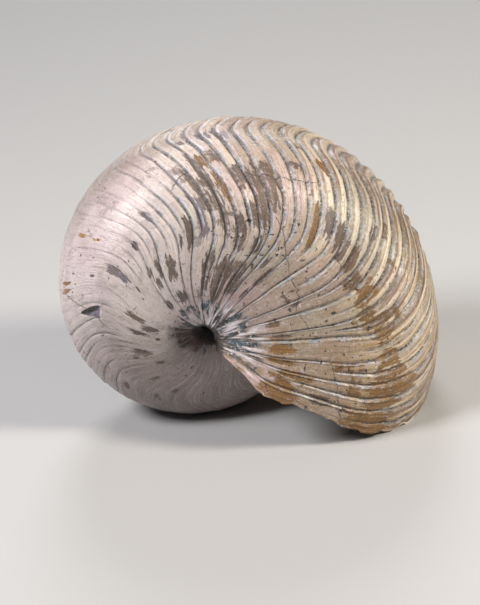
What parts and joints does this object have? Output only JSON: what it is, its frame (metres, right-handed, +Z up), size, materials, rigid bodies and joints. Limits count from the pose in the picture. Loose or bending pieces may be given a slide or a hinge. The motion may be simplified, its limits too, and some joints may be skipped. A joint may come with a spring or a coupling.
{
  "type": "fossil nautilus",
  "caption": "Ribbed, tightly coiled fossil nautilus shell filled with hardened sediment, standing on its keel and on both flanks of its aperture.",
  "frame": {"origin": "on the surface that the shell stands on, under the middle of its bounding box", "axes": "+Z up, +X towards the aperture, Y along the coiling axis, square to the plane of symmetry"},
  "size_m": [0.1388, 0.0918, 0.1103],
  "materials": {
    "pearly_shell": "satin mother-of-pearl, cream to pinkish grey, with blue-grey grooves, taupe scars and ochre stains"
  },
  "bodies": {
    "root": {"nautilus_fossil": "pearly_shell"}
  },
  "joints": []
}
